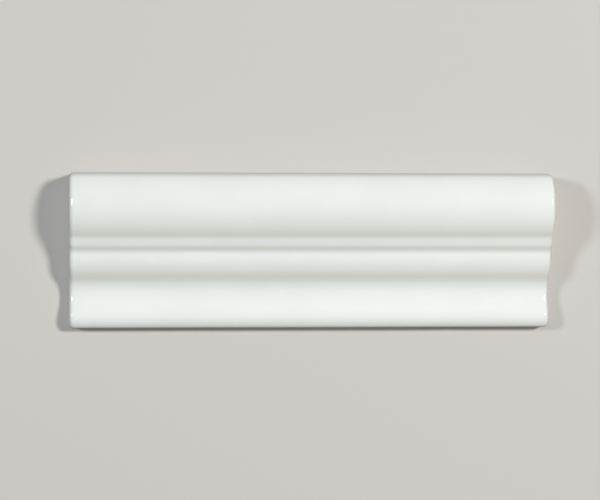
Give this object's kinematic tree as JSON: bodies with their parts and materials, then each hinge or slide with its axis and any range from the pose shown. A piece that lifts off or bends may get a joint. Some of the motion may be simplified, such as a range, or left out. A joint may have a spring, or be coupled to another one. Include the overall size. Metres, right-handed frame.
{
  "type": "ceramic skirting tile",
  "caption": "Long glazed ceramic skirting tile with a moulded face: a bold top roll, fillet, ogee and low bottom lip, over a flat keyed back for bedding on a wall.",
  "frame": {"origin": "middle of the back face, on which the tile lies", "axes": "+X along the tile, +Y from the bottom edge to the top edge with the roll, +Z out of the glazed face"},
  "size_m": [0.2, 0.064, 0.022],
  "materials": {
    "white_glaze": "glossy white glaze over a pale fired body, bare at the back"
  },
  "bodies": {
    "root": {"skirting_tile": "white_glaze"}
  },
  "joints": []
}
